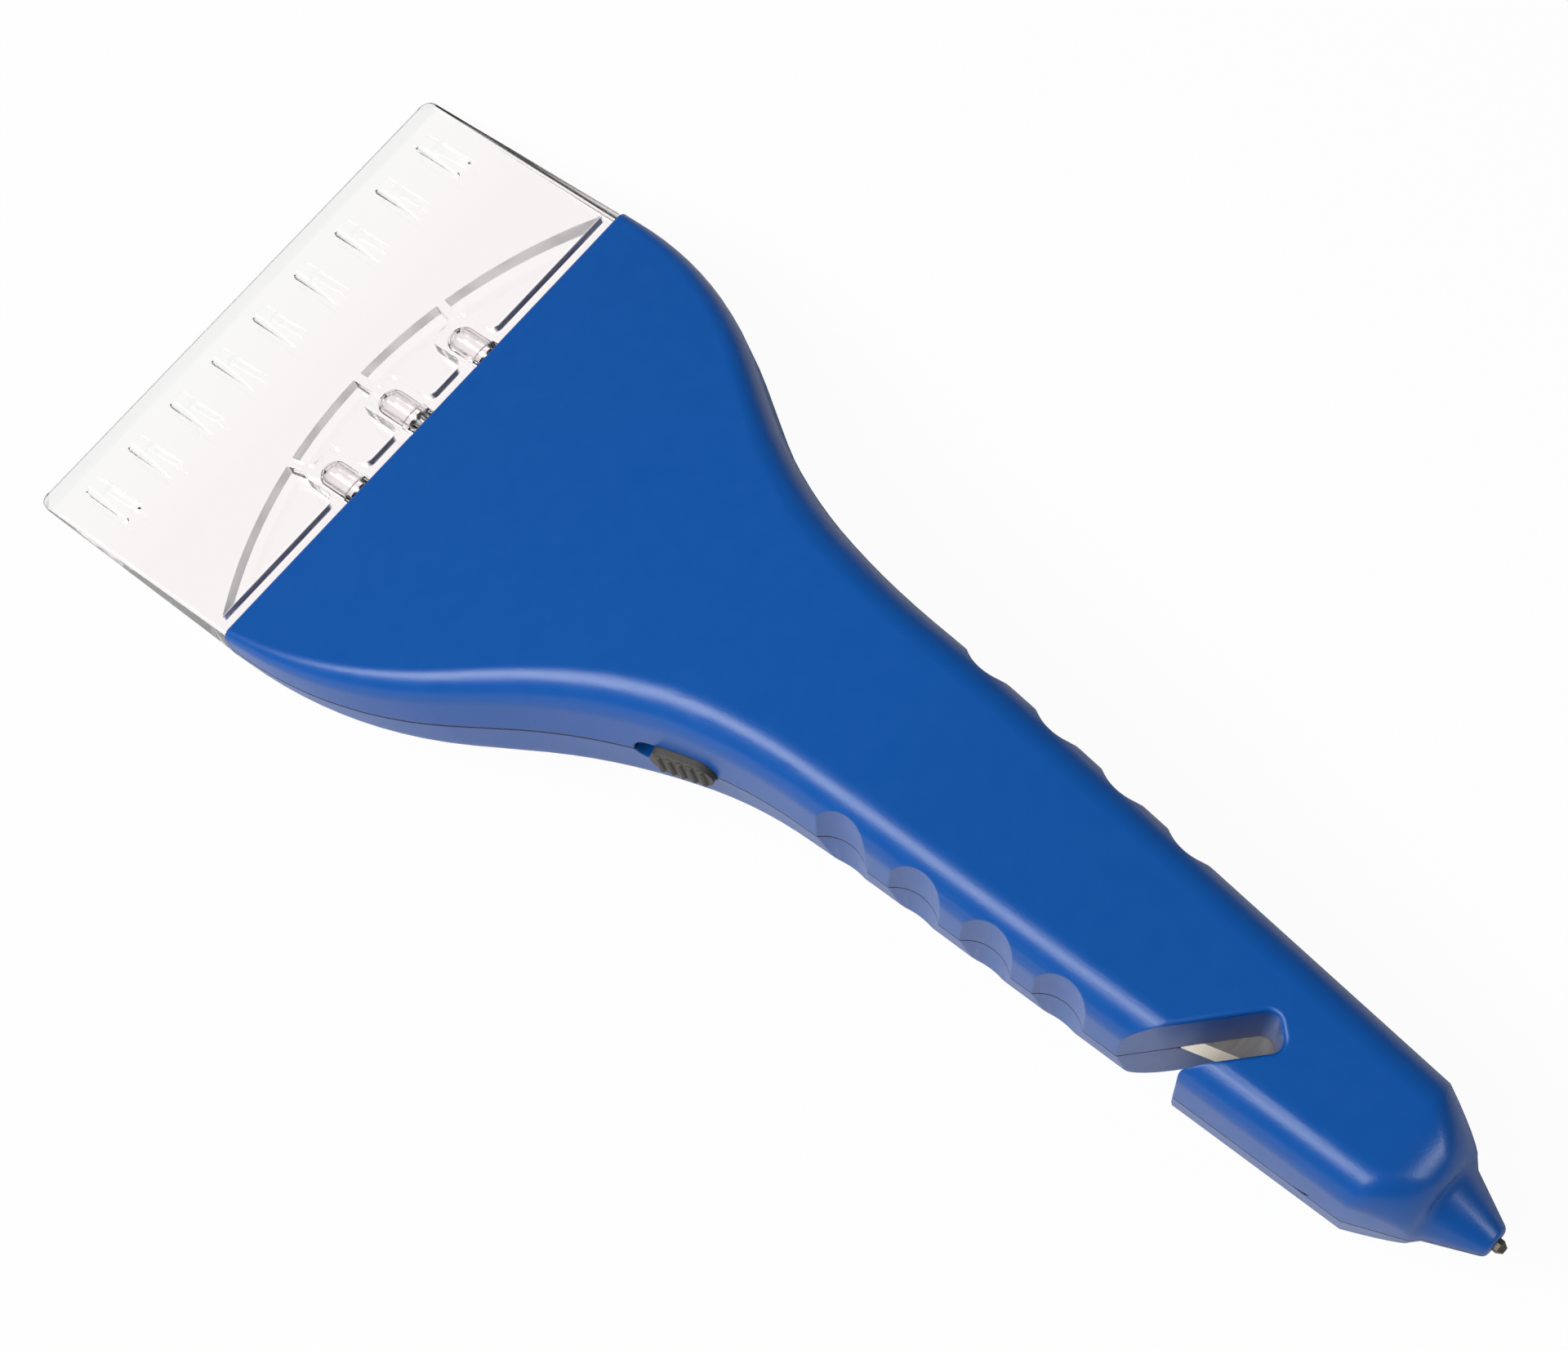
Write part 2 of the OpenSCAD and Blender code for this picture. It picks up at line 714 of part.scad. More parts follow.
module bay_wall() {
    low = bottom(bay_start) - wall(bay_start) / 2;
    half = half_width(bay_start) - wall(bay_start) + 0.5;
    sag = bend([bay_start - bay_rib, 0, 0]).z;
    translate([bay_start - bay_rib, -half, -low])
        cube([bay_rib, 2 * half, low + sag - parting_gap / 2]);
    translate([bay_start - bay_rib, -half + past, sag - past])
        cube([bay_rib, 2 * (half - past), bay_rib_top - sag + past]);
}

// Ribs of the upper half that keep the cells down
module cell_ribs() {
    low = cell_height + cell_radius + 0.15;
    for (s = [bay_start + 12, bay_end - 12])
        translate([s - 0.8, -cell_side - 3, low])
            cube([1.6, 2 * cell_side + 6, grip_top - grip_wall / 2 - low]);
}

module cell(start, flip) {
    translate([start + (flip ? cell_length : 0), 0, cell_height])
        rotate([0, flip ? -90 : 90, 0]) {
            translate([0, 0, button_length])
                cylinder(r = cell_radius, h = cell_length - button_length);
            cylinder(r = button_radius, h = button_length + 0.2);
        }
}

module battery_near() {
    color("darkgoldenrod")
        at_rest()
            translate([0, -cell_side, 0])
                cell(near_cell_start, false);
}

module battery_far() {
    color("darkgoldenrod")
        at_rest()
            translate([0, cell_side, 0])
                cell(far_cell_start, true);
}

// Contact strip against the bay wall, with a tab folded over the wall's top for its wire
module contact_strip(side) {
    translate([bay_start, side - strip_half, strip_low])
        cube([strip_thickness, 2 * strip_half, bay_rib_top + strip_thickness - strip_low]);
    translate([bay_start - bay_rib - past, side - 1, bay_rib_top])
        cube([bay_rib + past + strip_thickness, 2, strip_thickness]);
}

dome_root = 0.1;

module contact_dome(start, side) {
    translate([start + strip_thickness - dome_root, side, cell_height])
        rotate([0, 90, 0])
            cylinder(r1 = button_radius + 0.4, r2 = button_radius - 0.5,
                h = contact_room - strip_thickness + dome_root);
}

module positive_contact() {
    color("silver")
        at_rest() {
            contact_strip(-cell_side);
            contact_dome(bay_start, -cell_side);
        }
}

module negative_contact() {
    color("silver")
        at_rest()
            contact_strip(cell_side);
}

module bridge_contact() {
    color("silver")
        at_rest() {
            translate([bay_end - strip_thickness, -cell_side - strip_half, strip_low])
                cube([strip_thickness, 2 * cell_side + 2 * strip_half, bay_rib_top - strip_low]);
            mirror([1, 0, 0])
                contact_dome(-bay_end, cell_side);
        }
}

// Tube swept along a list of points, with its rings square to the path
function unit(v) = v / norm(v);
function tangent(path, i) = unit(path[min(i + 1, len(path) - 1)] - path[max(i - 1, 0)]);

module tube(path, radius, sides, up) {
    skin([for (i = [0:len(path) - 1])
        let (t = tangent(path, i), n = unit(cross(up, t)), b = cross(t, n))
        for (k = [0:sides - 1])
            path[i] + radius * (cos(360 * k / sides) * n - sin(360 * k / sides) * b)], sides);
}

// Conical battery springs, widest on the contact strip
spring_wire = 0.3;
spring_turns = 4;
spring_wide = 3.2;
spring_narrow = 2;

module battery_spring(start, side, direction) {
    steps = spring_turns * 8;
    play = 0.03;
    long = spring_room - strip_thickness - 2 * (spring_wire + play);
    first = start + direction * (strip_thickness + spring_wire + play);
    path = [for (i = [0:steps])
        let (t = i / steps, r = mix(spring_wide, spring_narrow, t), a = 360 * spring_turns * t)
        [first + direction * long * t, side + r * cos(a), cell_height + r * sin(a)]];
    tube(path, spring_wire, 6, [1, 0, 0]);
}

module negative_spring() {
    color("silver")
        at_rest()
            battery_spring(bay_start, cell_side, 1);
}

module bridge_spring() {
    color("silver")
        at_rest()
            battery_spring(bay_end, -cell_side, -1);
}

// Battery door: a window cut from the back of the grip, tilting out on a hook at its head end
door_start = bay_start + 2.4;
door_end = bay_end - 1.6;
door_depth = grip_wall + 1;
hook_reach = 1.6;
hook_width = 3;
hook_root = 2;
hook_thickness = 1;
hook_gap = 0.25;
latch_slit = 0.8;
latch_half = 4;
latch_length = 9;

module door_window(gap) {
    translate([door_start + gap, -door_half_width + gap, -grip_bottom - past])
        cube([door_end - door_start - 2 * gap, 2 * (door_half_width - gap), past + door_depth - gap]);
}

module battery_door() {
    hook_low = -(bottom(door_start) - wall(door_start)) + bend_sag + hook_gap;
    color("royalblue")
        at_rest()
            difference() {
                union() {
                    intersection() {
                        difference() {
                            outer_half(false);
                            cavity(false);
                        }
                        door_window(door_gap);
                    }
                    translate([door_start - hook_reach, -hook_width / 2, hook_low])
                        cube([hook_reach + door_gap + hook_root, hook_width, hook_thickness]);
                    translate([door_start + door_gap, -hook_width / 2, hook_low - hook_thickness])
                        cube([hook_root, hook_width, 2 * hook_thickness]);
                }
                for (side = [-latch_half - latch_slit, latch_half])
                    translate([door_end - latch_length, side, -grip_bottom - past])
                        cube([latch_length, latch_slit, grip_bottom]);
            }
}
bend_sag = bend([door_start, 0, 0]).z;

// Small triangular pry notch on the near parting line
pry_station = shoulder - 9;
pry_size = [3.3, 1.5];

module pry_notch() {
    translate([pry_station, -half_width(pry_station) + 1.2, 0])
        rotate([90, 0, 0])
            linear_extrude(4)
                polygon([[0, 0], pry_size, [pry_size.x - 0.8, 0]]);
}

// Lamp board and the slotted rests that carry it
board_setback = 2.6;
board_front = seam + board_setback;
board_half = lamp_pitch + 5.6;
board_low = -2.1;
board_high = 2.7;
board_rest_side = board_half - 4;

module board_rests() {
    low = bottom(board_front) - wall(board_front) / 2;
    on_head()
        for (side = [-1, 1])
            translate([board_front - 1, side * board_rest_side - 1.5, -low])
                difference() {
                    cube([board_thickness + 2, 3, low - 0.4]);
                    translate([1 - pin_clearance, -past, low + board_low])
                        cube([board_thickness + 2 * pin_clearance, 3 + 2 * past, low]);
                }
}

module led_board() {
    color("darkgreen")
        at_rest()
            on_head()
                translate([board_front, -board_half, board_low])
                    cube([board_thickness, 2 * board_half, board_high - board_low]);
}

module led_resistor() {
    color("tan")
        at_rest()
            on_head()
                translate([board_front + board_thickness + 0.9, -2.6, lamp_height])
                    rotate([-90, 0, 0])
                        cylinder(r = 0.9, h = 5.2);
}

// Lamps in their clear housings, domes towards the scraping edge, set back along the arc of the pocket
lamp_radius = lamp_diameter / 2;
lamp_flange = 1;
lamp_flange_radius = lamp_radius + 0.3;
lamp_inset = 2.6;
lamp_back = seam - lamp_inset;
lamp_tip = lamp_back - lamp_length;
function arc_setback(side) = pocket_radius - sqrt(pow(pocket_radius, 2) - pow(side, 2));

module lamp(side) {
    on_head()
        translate([lamp_back + arc_setback(side), side, lamp_height])
            rotate([0, -90, 0])
                rotate_extrude() {
                    square([lamp_radius, lamp_length - lamp_radius]);
                    square([lamp_flange_radius, lamp_flange]);
                    translate([0, lamp_length - lamp_radius])
                        intersection() {
                            circle(r = lamp_radius);
                            square(lamp_radius);
                        }
                }
}

module led_near() {
    color("whitesmoke")
        at_rest()
            lamp(-lamp_pitch);
}

module led_middle() {
    color("whitesmoke")
        at_rest()
            lamp(0);
}

module led_far() {
    color("whitesmoke")
        at_rest()
            lamp(lamp_pitch);
}

lead_spacing = 2.54;
lead_radius = 0.25;

module led_leads() {
    color("silver")
        at_rest()
            on_head()
                for (i = [-1:1]) {
                    start = lamp_back + arc_setback(i * lamp_pitch);
                    for (side = [-0.5, 0.5])
                        translate([start, i * lamp_pitch + side * lead_spacing, lamp_height])
                            rotate([0, 90, 0])
                                cylinder(r = lead_radius, h = board_front - start, $fn = 16);
                }
}

// Clear scraping head
head_top = seam_top - head_step;
head_bottom = seam_bottom - head_step;
function head_face(s) = mix(bevel_height, head_top, (s - bevel_length) / (head_length - bevel_length));
boss_half = lamp_radius + lamp_clearance + lamp_wall;
boss_corner = 1.2;
boss_fillet = 1.8;
function boss_front(side) = lamp_tip - lamp_clearance - lamp_wall + arc_setback(side);
pocket_end = head_length - pocket_strip;
pocket_crown = head_length - pocket_reach;
pocket_middle = pocket_crown + pocket_radius;
web_width = 1.6;
web_fillet = 0.8;
web_root = 0.4;
rib_sink = 0.06;
ear_half = 9;
ear_length = 13;

module head_blank() {
    intersection() {
        rotate([90, 0, 0])
            linear_extrude(2 * seam_width, center = true)
                polygon([[0, -edge_thickness / 2], [0, edge_thickness / 2], [bevel_length, bevel_height],
                    [head_length, head_top], [head_length, -head_bottom]]);
        linear_extrude(4 * seam_top, center = true)
            difference() {
                polygon([[0, -edge_width / 2], [0, edge_width / 2], [head_length, head_half],
                    [head_length, -head_half]]);
                for (side = [0, 1])
                    mirror([0, side])
                        translate([0, edge_width / 2 - edge_corner])
                            difference() {
                                square(2 * edge_corner);
                                translate([edge_corner, 0])
                                    circle(r = edge_corner);
                                translate([edge_corner, -edge_corner])
                                    square(4 * edge_corner);
                            }
            }
    }
}

// Slanted cut below each corner of the edge
module corner_easing() {
    size = 4 * edge_corner;
    for (side = [0, 1])
        mirror([0, side])
            translate([0, edge_width / 2 - edge_corner - corner_ease, -edge_thickness / 2])
                rotate([0, -45, 135])
                    translate([-size, -size, -size])
                        cube([2 * size, 2 * size, size]);
}

// One rib: a tongue with a blunt front and a round rear, sloping down into the plate
module ice_rib() {
    front = head_face(rib_setback) + rib_height;
    back = head_face(rib_setback + rib_length) - rib_sink;
    intersection() {
        translate([rib_setback, 0, 0])
            linear_extrude(4 * seam_top) {
                translate([0, -rib_width / 2])
                    square([rib_length - rib_width / 2, rib_width]);
                translate([rib_length - rib_width / 2, 0])
                    circle(d = rib_width);
            }
        translate([rib_setback, -rib_width, front])
            rotate([0, atan((front - back) / rib_length), 0])
                translate([-rib_length, 0, -4 * seam_top])
                    cube([3 * rib_length, 2 * rib_width, 4 * seam_top]);
    }
}

module lamp_bore(side) {
    back = lamp_back + arc_setback(side);
    dome = back - lamp_length + lamp_radius;
    r = lamp_radius + lamp_clearance;
    translate([dome, side, lamp_height])
        rotate([0, 90, 0]) {
            cylinder(r = r, h = head_length - dome + past);
            sphere(r = r);
        }
    translate([back - lamp_flange - lamp_clearance, side, lamp_height])
        rotate([0, 90, 0])
            cylinder(r = lamp_flange_radius + lamp_clearance,
                h = head_length - back + lamp_flange + lamp_clearance + past);
}

// Plan of a lamp housing, left standing in the pocket and filleted into the strip behind it
module boss_plan(side) {
    long = pocket_end - boss_front(side);
    translate([boss_front(side), side]) {
        translate([boss_corner, -boss_half])
            square([long - boss_corner + past, 2 * boss_half]);
        translate([0, boss_corner - boss_half])
            square([2 * boss_corner, 2 * (boss_half - boss_corner)]);
        for (flip = [0, 1])
            mirror([0, flip]) {
                translate([boss_corner, boss_half - boss_corner])
                    circle(r = boss_corner);
                translate([long - boss_fillet, boss_half])
                    difference() {
                        translate([0, -past])
                            square(boss_fillet + past);
                        translate([0, boss_fillet])
                            circle(r = boss_fillet);
                    }
            }
    }
}

// Plan of the web from a lamp housing to the arc, with a fillet at each corner
module web_plan(i) {
    foot = [boss_front(i * lamp_pitch), i * (lamp_pitch + boss_half - web_width / 2 - web_fillet)];
    away = foot - [pocket_middle, 0];
    long = pocket_radius - norm(away) + 2 * web_root;
    translate(foot)
        rotate(atan2(away.y, away.x))
            translate([-web_root, 0])
                difference() {
                    translate([0, -web_width / 2 - web_fillet])
                        square([long, web_width + 2 * web_fillet]);
                    for (side = [-1, 1])
                        translate([long / 2, side * (web_width / 2 + web_fillet)])
                            stadium(long, 2 * web_fillet);
                }
}

// Arc pocket round the lamp housings
module pocket() {
    translate([0, 0, pocket_floor])
        linear_extrude(head_top)
            difference() {
                intersection() {
                    translate([pocket_middle, 0])
                        circle(r = pocket_radius, $fn = 96);
                    translate([0, -seam_width / 2])
                        square([pocket_end, seam_width]);
                }
                for (i = [-1:1]) {
                    boss_plan(i * lamp_pitch);
                    web_plan(i);
                }
            }
}

module head_ears() {
    for (side = [-1, 1])
        difference() {
            translate([head_length - past, side * ear_side - ear_half, -ear_thickness / 2])
                cube([ear_length + past, 2 * ear_half, ear_thickness]);
            translate([ear_station, side * ear_side, -ear_thickness])
                cylinder(r = spigot_radius + ear_hole_play, h = 2 * ear_thickness);
        }
}

module scraper_head() {
    color("aliceblue", 0.4)
        at_rest()
            on_head()
                difference() {
                    union() {
                        difference() {
                            head_blank();
                            corner_easing();
                            pocket();
                        }
                        for (i = [0:rib_count - 1])
                            translate([0, (i - (rib_count - 1) / 2) * rib_pitch, 0])
                                ice_rib();
                        head_ears();
                    }
                    for (i = [-1:1])
                        lamp_bore(i * lamp_pitch);
                }
}

// Housing halves
module upper_shell() {
    color("royalblue")
        at_rest()
            difference() {
                union() {
                    difference() {
                        outer_half(true);
                        cavity(true);
                    }
                    towers(true);
                    switch_blocks(true);
                    cell_ribs();
                }
                scoops();
                notch();
                notch_rounding();
                switch_slot();
                pin_seat();
                screw_holes();
                pry_notch();
                blade_pegs(blade_clearance, 2 * blade_thickness + past);
            }
}

module lower_shell() {
    color("royalblue")
        at_rest()
            difference() {
                union() {
                    difference() {
                        union() {
                            difference() {
                                outer_half(false);
                                cavity(false);
                            }
                            towers(false);
                            switch_blocks(false);
                            board_rests();
                            bay_wall();
                        }
                        blade_recess();
                        door_window(0);
                    }
                    blade_pegs(0, blade_thickness + past / 2);
                }
                scoops();
                notch();
                switch_slot();
                pin_seat();
                screw_holes();
            }
}

// Wires inside the housing, through points chosen along their routes
wire_radius = wire_diameter / 2;
wire_steps = 4;
function spline(a, b, c, d, t) =
    0.5 * (2 * b + (c - a) * t + (2 * a - 5 * b + 4 * c - d) * t * t + (3 * b - a - 3 * c + d) * t * t * t);
function smooth(route) =
    let (last = len(route) - 1)
    concat([for (i = [0:last - 1]) for (k = [0:wire_steps - 1])
        spline(route[max(i - 1, 0)], route[i], route[i + 1], route[min(i + 2, last)], k / wire_steps)],
        [route[last]]);

module wire(route) {
    tube([for (p = smooth(route)) bend(p)], wire_radius, 8, [0, 0, 1]);
}

wire_height = 1.2;
wire_stub = 4;
wire_side = 11;
solder_gap = 0.05;
tab_end = bay_start - bay_rib - past;
tab_height = bay_rib_top + strip_thickness / 2;
board_back = board_front + board_thickness;
pin_tip = switch_front + switch_size.y + switch_pin_length;
function solder(i, y) = concat(switch_point(i * switch_pin_pitch, pin_tip + y), [0]);
function tab_point(side, back) = [tab_end - back, side, tab_height];
function board_point(side, back) = [board_back + back, side, lamp_height];

module red_wire() {
    color("red")
        at_rest()
            wire([tab_point(-cell_side, solder_gap), tab_point(-cell_side, wire_stub), [neck - 6, -4, 3],
                solder(1, 6) + [6, 1, 1], solder(1, wire_stub), solder(1, solder_gap)]);
}

module switch_wire() {
    color("orange")
        at_rest()
            wire([solder(0, solder_gap), solder(0, wire_stub), solder(0, 5) + [-6, 0, 0.5],
                [hollow_start + 6, -6, wire_height], [curve_end - 8, -9, wire_height],
                [curve_start + 14, -wire_side, wire_height], board_point(-wire_side, wire_stub),
                board_point(-wire_side, solder_gap)]);
}

module black_wire() {
    color("dimgray")
        at_rest()
            wire([tab_point(cell_side, solder_gap), tab_point(cell_side, wire_stub), [neck - 8, 7, 2.5],
                [bend_start - 2, 8, wire_height], [curve_end, 10, wire_height],
                [curve_start + 14, wire_side, wire_height], board_point(wire_side, wire_stub),
                board_point(wire_side, solder_gap)]);
}

upper_shell();
lower_shell();
scraper_head();
battery_door();
switch_slider();
switch_lever();
switch_body();
switch_pins();
led_board();
led_near();
led_middle();
led_far();
led_leads();
led_resistor();
battery_near();
battery_far();
positive_contact();
negative_contact();
negative_spring();
bridge_contact();
bridge_spring();
cutter_blade();
breaker_pin();
shell_screws();
red_wire();
switch_wire();
black_wire();
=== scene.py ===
import math

import bmesh
import bpy
from mathutils import Matrix, Vector


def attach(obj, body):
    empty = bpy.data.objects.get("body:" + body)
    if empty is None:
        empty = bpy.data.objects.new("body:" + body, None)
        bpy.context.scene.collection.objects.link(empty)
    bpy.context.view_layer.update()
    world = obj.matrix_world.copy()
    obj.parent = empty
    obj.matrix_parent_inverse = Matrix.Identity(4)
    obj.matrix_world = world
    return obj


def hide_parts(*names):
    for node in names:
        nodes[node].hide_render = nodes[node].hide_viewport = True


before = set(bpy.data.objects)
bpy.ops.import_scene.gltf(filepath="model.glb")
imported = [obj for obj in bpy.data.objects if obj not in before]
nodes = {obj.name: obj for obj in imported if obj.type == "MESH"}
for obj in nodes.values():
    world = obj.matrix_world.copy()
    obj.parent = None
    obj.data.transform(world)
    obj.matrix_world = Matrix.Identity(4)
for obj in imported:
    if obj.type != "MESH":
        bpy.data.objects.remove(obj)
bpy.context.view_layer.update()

# Lower half of the housing: injection-moulded, through-coloured blue plastic with a fine satin grain.
# It carries the lamp board, the switch, the cells and the cutter blade, and takes the five screws.
# The copy of the imported solid is merged so that its lofted sides shade as one smooth skin.
# A painted shade darkens the plastic to a dark blue line along the joint between the halves, where the narrow
# gap would lie in shade.
shell_blue = (0.0012, 0.078, 0.345, 1)
shell_blue_pale = (0.002, 0.086, 0.37, 1)
joint_shade_blue = (0.0005, 0.016, 0.09, 1)
joint_half = 0.0002
joint_fade = 0.00015
bend_span = (-0.0132, 0.0282)
bend_middle = (0.0114, -0.102955)
bend_radius = 0.129
fine_grain = 2600
slow_cloud = 260
noise_span = (0.15, 0.85)
rough_play = 0.03
edge_samples = 6
weld = 2e-6
flat_turn = math.radians(0.2)
smooth_turn = math.radians(28)


def grain_group():
    """Moulded grain: fine speckle and slow clouds over a surface, both from 0 to 1."""
    tree = bpy.data.node_groups.new("moulded_grain", "ShaderNodeTree")
    layers = (("Grain", fine_grain, 2.0), ("Cloud", slow_cloud, 3.0))
    for name, scale, _ in layers:
        socket = tree.interface.new_socket(name + " Scale", in_out="INPUT", socket_type="NodeSocketFloat")
        socket.default_value = scale
        tree.interface.new_socket(name, in_out="OUTPUT", socket_type="NodeSocketFloat")
    entry = tree.nodes.new("NodeGroupInput")
    result = tree.nodes.new("NodeGroupOutput")
    place = tree.nodes.new("ShaderNodeTexCoord")
    for name, _, detail in layers:
        noise = tree.nodes.new("ShaderNodeTexNoise")
        noise.inputs["Detail"].default_value = detail
        tree.links.new(place.outputs["Object"], noise.inputs["Vector"])
        tree.links.new(entry.outputs[name + " Scale"], noise.inputs["Scale"])
        tree.links.new(noise.outputs["Fac"], result.inputs[name])
    return tree


moulded_grain = grain_group()


def start_material(name):
    """A new node material, its node tree and its shader."""
    material = bpy.data.materials.new(name)
    material.use_nodes = True
    return material, material.node_tree, material.node_tree.nodes["Principled BSDF"]


def add_grain(tree, grain_scale=fine_grain, cloud_scale=slow_cloud):
    """Put the moulded grain into a material."""
    grain = tree.nodes.new("ShaderNodeGroup")
    grain.node_tree = moulded_grain
    grain.inputs["Grain Scale"].default_value = grain_scale
    grain.inputs["Cloud Scale"].default_value = cloud_scale
    return grain


def ramp(tree, source, start, end, low=0.0, high=1.0):
    """A value that runs from low to high while its source runs from start to end."""
    reach = tree.nodes.new("ShaderNodeMapRange")
    for name, value in (("From Min", start), ("From Max", end), ("To Min", low), ("To Max", high)):
        reach.inputs[name].default_value = value
    tree.links.new(source, reach.inputs["Value"])
    return reach.outputs["Result"]


def spread(tree, source, low, high, target):
    """Stretch a noise value of the surface to a range and feed a socket with it."""
    tree.links.new(ramp(tree, source, *noise_span, low, high), target)


def two_tone(tree, source, first, second, target):
    """Feed a colour socket with a mix of two colours over the surface."""
    mix = tree.nodes.new("ShaderNodeMix")
    mix.data_type = "RGBA"
    mix.inputs["A"].default_value = first
    mix.inputs["B"].default_value = second
    tree.links.new(source, mix.inputs["Factor"])
    tree.links.new(mix.outputs["Result"], target)


def overlay(tree, mask, colour):
    """Lay a colour over a material's own base colour where a mask is 1."""
    base = tree.nodes["Principled BSDF"].inputs["Base Color"]
    mix = tree.nodes.new("ShaderNodeMix")
    mix.data_type = "RGBA"
    mix.inputs["B"].default_value = colour
    tree.links.new(base.links[0].from_socket, mix.inputs["A"])
    tree.links.new(mask, mix.inputs["Factor"])
    tree.links.new(mix.outputs["Result"], base)


def raise_grain(tree, source, depth, shader, edge=0.0):
    """Bump from a height over the surface, over edges softened by a small radius."""
    bump = tree.nodes.new("ShaderNodeBump")
    bump.inputs["Strength"].default_value = 1.0
    bump.inputs["Distance"].default_value = depth
    tree.links.new(source, bump.inputs["Height"])
    if edge:
        soft = tree.nodes.new("ShaderNodeBevel")
        soft.samples = edge_samples
        soft.inputs["Radius"].default_value = edge
        tree.links.new(soft.outputs["Normal"], bump.inputs["Normal"])
    tree.links.new(bump.outputs["Normal"], shader.inputs["Normal"])


def plastic(name, dark, pale, rough, grain_scale, depth, edge=0.0):
    """A moulded plastic: two close tones, satin grain and softened edges."""
    material, tree, shader = start_material(name)
    grain = add_grain(tree, grain_scale)
    two_tone(tree, grain.outputs["Cloud"], dark, pale, shader.inputs["Base Color"])
    spread(tree, grain.outputs["Cloud"], rough - rough_play, rough + rough_play, shader.inputs["Roughness"])
    raise_grain(tree, grain.outputs["Grain"], depth, shader, edge)
    return material


def run_along(tree, direction, space="Object"):
    """The distance of a surface point along a direction."""
    place = tree.nodes.new("ShaderNodeTexCoord")
    run = tree.nodes.new("ShaderNodeVectorMath")
    run.operation = "DOT_PRODUCT"
    run.inputs[1].default_value = direction
    tree.links.new(place.outputs[space], run.inputs[0])
    return run.outputs["Value"]


def calc(tree, operation, *values):
    """The outcome of one sum over sockets and plain numbers."""
    node = tree.nodes.new("ShaderNodeMath")
    node.operation = operation
    for socket, value in zip(node.inputs, values):
        if isinstance(value, bpy.types.NodeSocket):
            tree.links.new(value, socket)
        else:
            socket.default_value = value
    return node.outputs["Value"]


def joint_shade_group():
    """Mask of the painted shade in the joint between the halves: 1 along the bent parting surface, 0 away
    from it.
    """
    tree = bpy.data.node_groups.new("joint_shade_line", "ShaderNodeTree")
    tree.interface.new_socket("Line", in_out="OUTPUT", socket_type="NodeSocketFloat")
    result = tree.nodes.new("NodeGroupOutput")
    here = run_along(tree, (1, 0, 0))
    height = run_along(tree, (0, 0, 1))
    on_arc = calc(tree, "MINIMUM", calc(tree, "MAXIMUM", here, bend_span[0]), bend_span[1])
    offset = calc(tree, "SUBTRACT", on_arc, bend_middle[0])
    squared = calc(tree, "MULTIPLY", offset, offset)
    rise = calc(tree, "SQRT", calc(tree, "SUBTRACT", bend_radius**2, squared))
    slope = calc(tree, "DIVIDE", offset, rise)
    fall = calc(tree, "MULTIPLY", slope, calc(tree, "SUBTRACT", here, on_arc))
    level = calc(tree, "SUBTRACT", calc(tree, "ADD", rise, bend_middle[1]), fall)
    away = calc(tree, "ABSOLUTE", calc(tree, "SUBTRACT", height, level))
    tree.links.new(ramp(tree, away, joint_half, joint_half + joint_fade, 1.0, 0.0), result.inputs["Line"])
    return tree


blue_plastic = plastic(
    "blue_plastic", shell_blue, shell_blue_pale,
    rough=0.305, grain_scale=fine_grain, depth=0.000018, edge=0.0006,
)
# Painted shade: a dark blue line laid along the joint between the halves, in place of the shade in the gap.
joint = blue_plastic.node_tree.nodes.new("ShaderNodeGroup")
joint.node_tree = joint_shade_group()
overlay(blue_plastic.node_tree, joint.outputs["Line"], joint_shade_blue)


def mark_sharp(shape):
    """Shade smooth over soft edges and sharp over the others."""
    for edge in shape.edges:
        edge.smooth = edge.calc_face_angle(0) < smooth_turn


def merged_copy(name, node, reshape=None):
    """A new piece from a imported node: loose triangles merged, reshaped if asked, smooth over soft edges."""
    mesh = nodes[node].data.copy()
    mesh.name = name
    for layer in ("custom_normal", "sharp_edge", "sharp_face"):
        if layer in mesh.attributes:
            mesh.attributes.remove(mesh.attributes[layer])
    shape = bmesh.new()
    shape.from_mesh(mesh)
    bmesh.ops.remove_doubles(shape, verts=shape.verts, dist=weld)
    bmesh.ops.dissolve_limit(
        shape, angle_limit=flat_turn, verts=shape.verts, edges=shape.edges, delimit={"NORMAL"}
    )
    for face in shape.faces:
        face.smooth = True
    mark_sharp(shape)
    if reshape:
        reshape(shape)
    shape.to_mesh(mesh)
    shape.free()
    piece = bpy.data.objects.new(name, mesh)
    bpy.context.scene.collection.objects.link(piece)
    weigh = piece.modifiers.new("even_shading", "WEIGHTED_NORMAL")
    weigh.keep_sharp = True
    return piece


def dress(piece, material):
    """Give a piece one material."""
    piece.data.materials.clear()
    piece.data.materials.append(material)


lower_half = merged_copy("lower_half", "lower_shell")
dress(lower_half, blue_plastic)
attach(lower_half, "housing")
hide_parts("lower_shell")

# Cutter blade: a strip of hardened steel, ground along one edge.
# It lies in a recess of the lower half on two pegs, across the end of the belt notch.
steel_dark = (0.46, 0.42, 0.34, 1)
steel_pale = (0.68, 0.63, 0.54, 1)
steel_rough = (0.45, 0.6)
grind_turn = math.radians(-18)
grind_scale = (2600, 160, 160)
grind_depth = 0.00001
steel, steel_tree, steel_shader = start_material("ground_steel")
steel_shader.inputs["Metallic"].default_value = 1.0
steel_place = steel_tree.nodes.new("ShaderNodeTexCoord")
steel_turn = steel_tree.nodes.new("ShaderNodeMapping")
steel_turn.inputs["Rotation"].default_value = (0, 0, grind_turn)
steel_turn.inputs["Scale"].default_value = grind_scale
steel_noise = steel_tree.nodes.new("ShaderNodeTexNoise")
steel_noise.inputs["Scale"].default_value = 1.0
steel_noise.inputs["Detail"].default_value = 3.0
